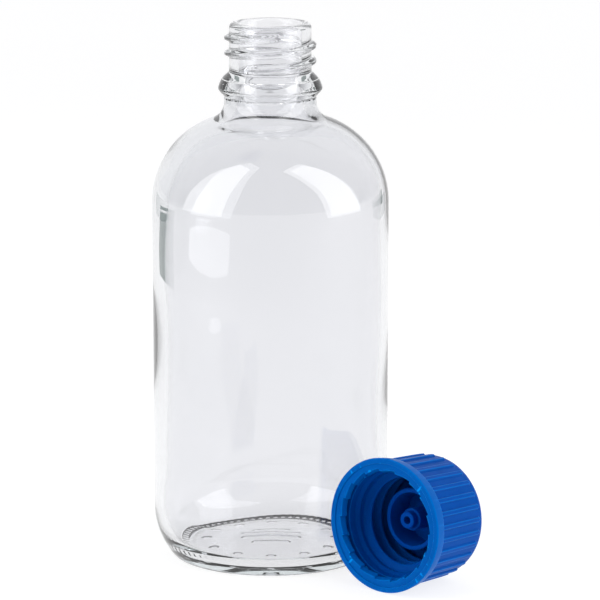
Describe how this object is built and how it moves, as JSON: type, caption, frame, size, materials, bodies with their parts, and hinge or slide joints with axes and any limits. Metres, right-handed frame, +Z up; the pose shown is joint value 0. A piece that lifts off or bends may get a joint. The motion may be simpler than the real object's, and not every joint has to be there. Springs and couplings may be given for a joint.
{
  "type": "reagent bottle",
  "caption": "Clear glass reagent bottle with a screw neck, beside its ribbed plastic screw closure with a tamper band and sealing insert.",
  "frame": {"origin": "on the table, at the centre of the bottle's bearing ring", "axes": "+Z up along the bottle's axis; the closure lies on its side at +X with its mouth towards -Y"},
  "size_m": [0.0724, 0.0464, 0.106],
  "materials": {
    "clear_glass": "clear, fire-polished soda-lime glass",
    "cap_plastic": "satin moulded polypropylene",
    "band_plastic": "satin moulded polypropylene",
    "insert_plastic": "satin moulded polyethylene"
  },
  "bodies": {
    "bottle": {"glass_bottle": "clear_glass"},
    "band": {"tamper_band": "band_plastic", "break_bridges": "band_plastic"},
    "insert": {"seal_insert": "insert_plastic"},
    "cap": {"screw_cap": "cap_plastic"}
  },
  "joints": [
    {"name": "closure_lift", "type": "slide", "parent": "bottle", "child": "band", "axis": [0, 0, 1], "range_m": [0, 0.12]},
    {"name": "cap_rise", "type": "slide", "parent": "band", "child": "insert", "axis": [0, 0.9977, -0.0681], "range_m": [0, 0.006]},
    {"name": "cap_turn", "type": "hinge", "parent": "insert", "child": "cap", "pos_m": [0.0361, -0.0094, 0.01309], "axis": [0, 0.9977, -0.0681], "range_deg": [0, 720]}
  ],
  "couplings": [
    {"joint": "cap_rise", "follows": "cap_turn", "m_per_rad": 0.00047746}
  ]
}
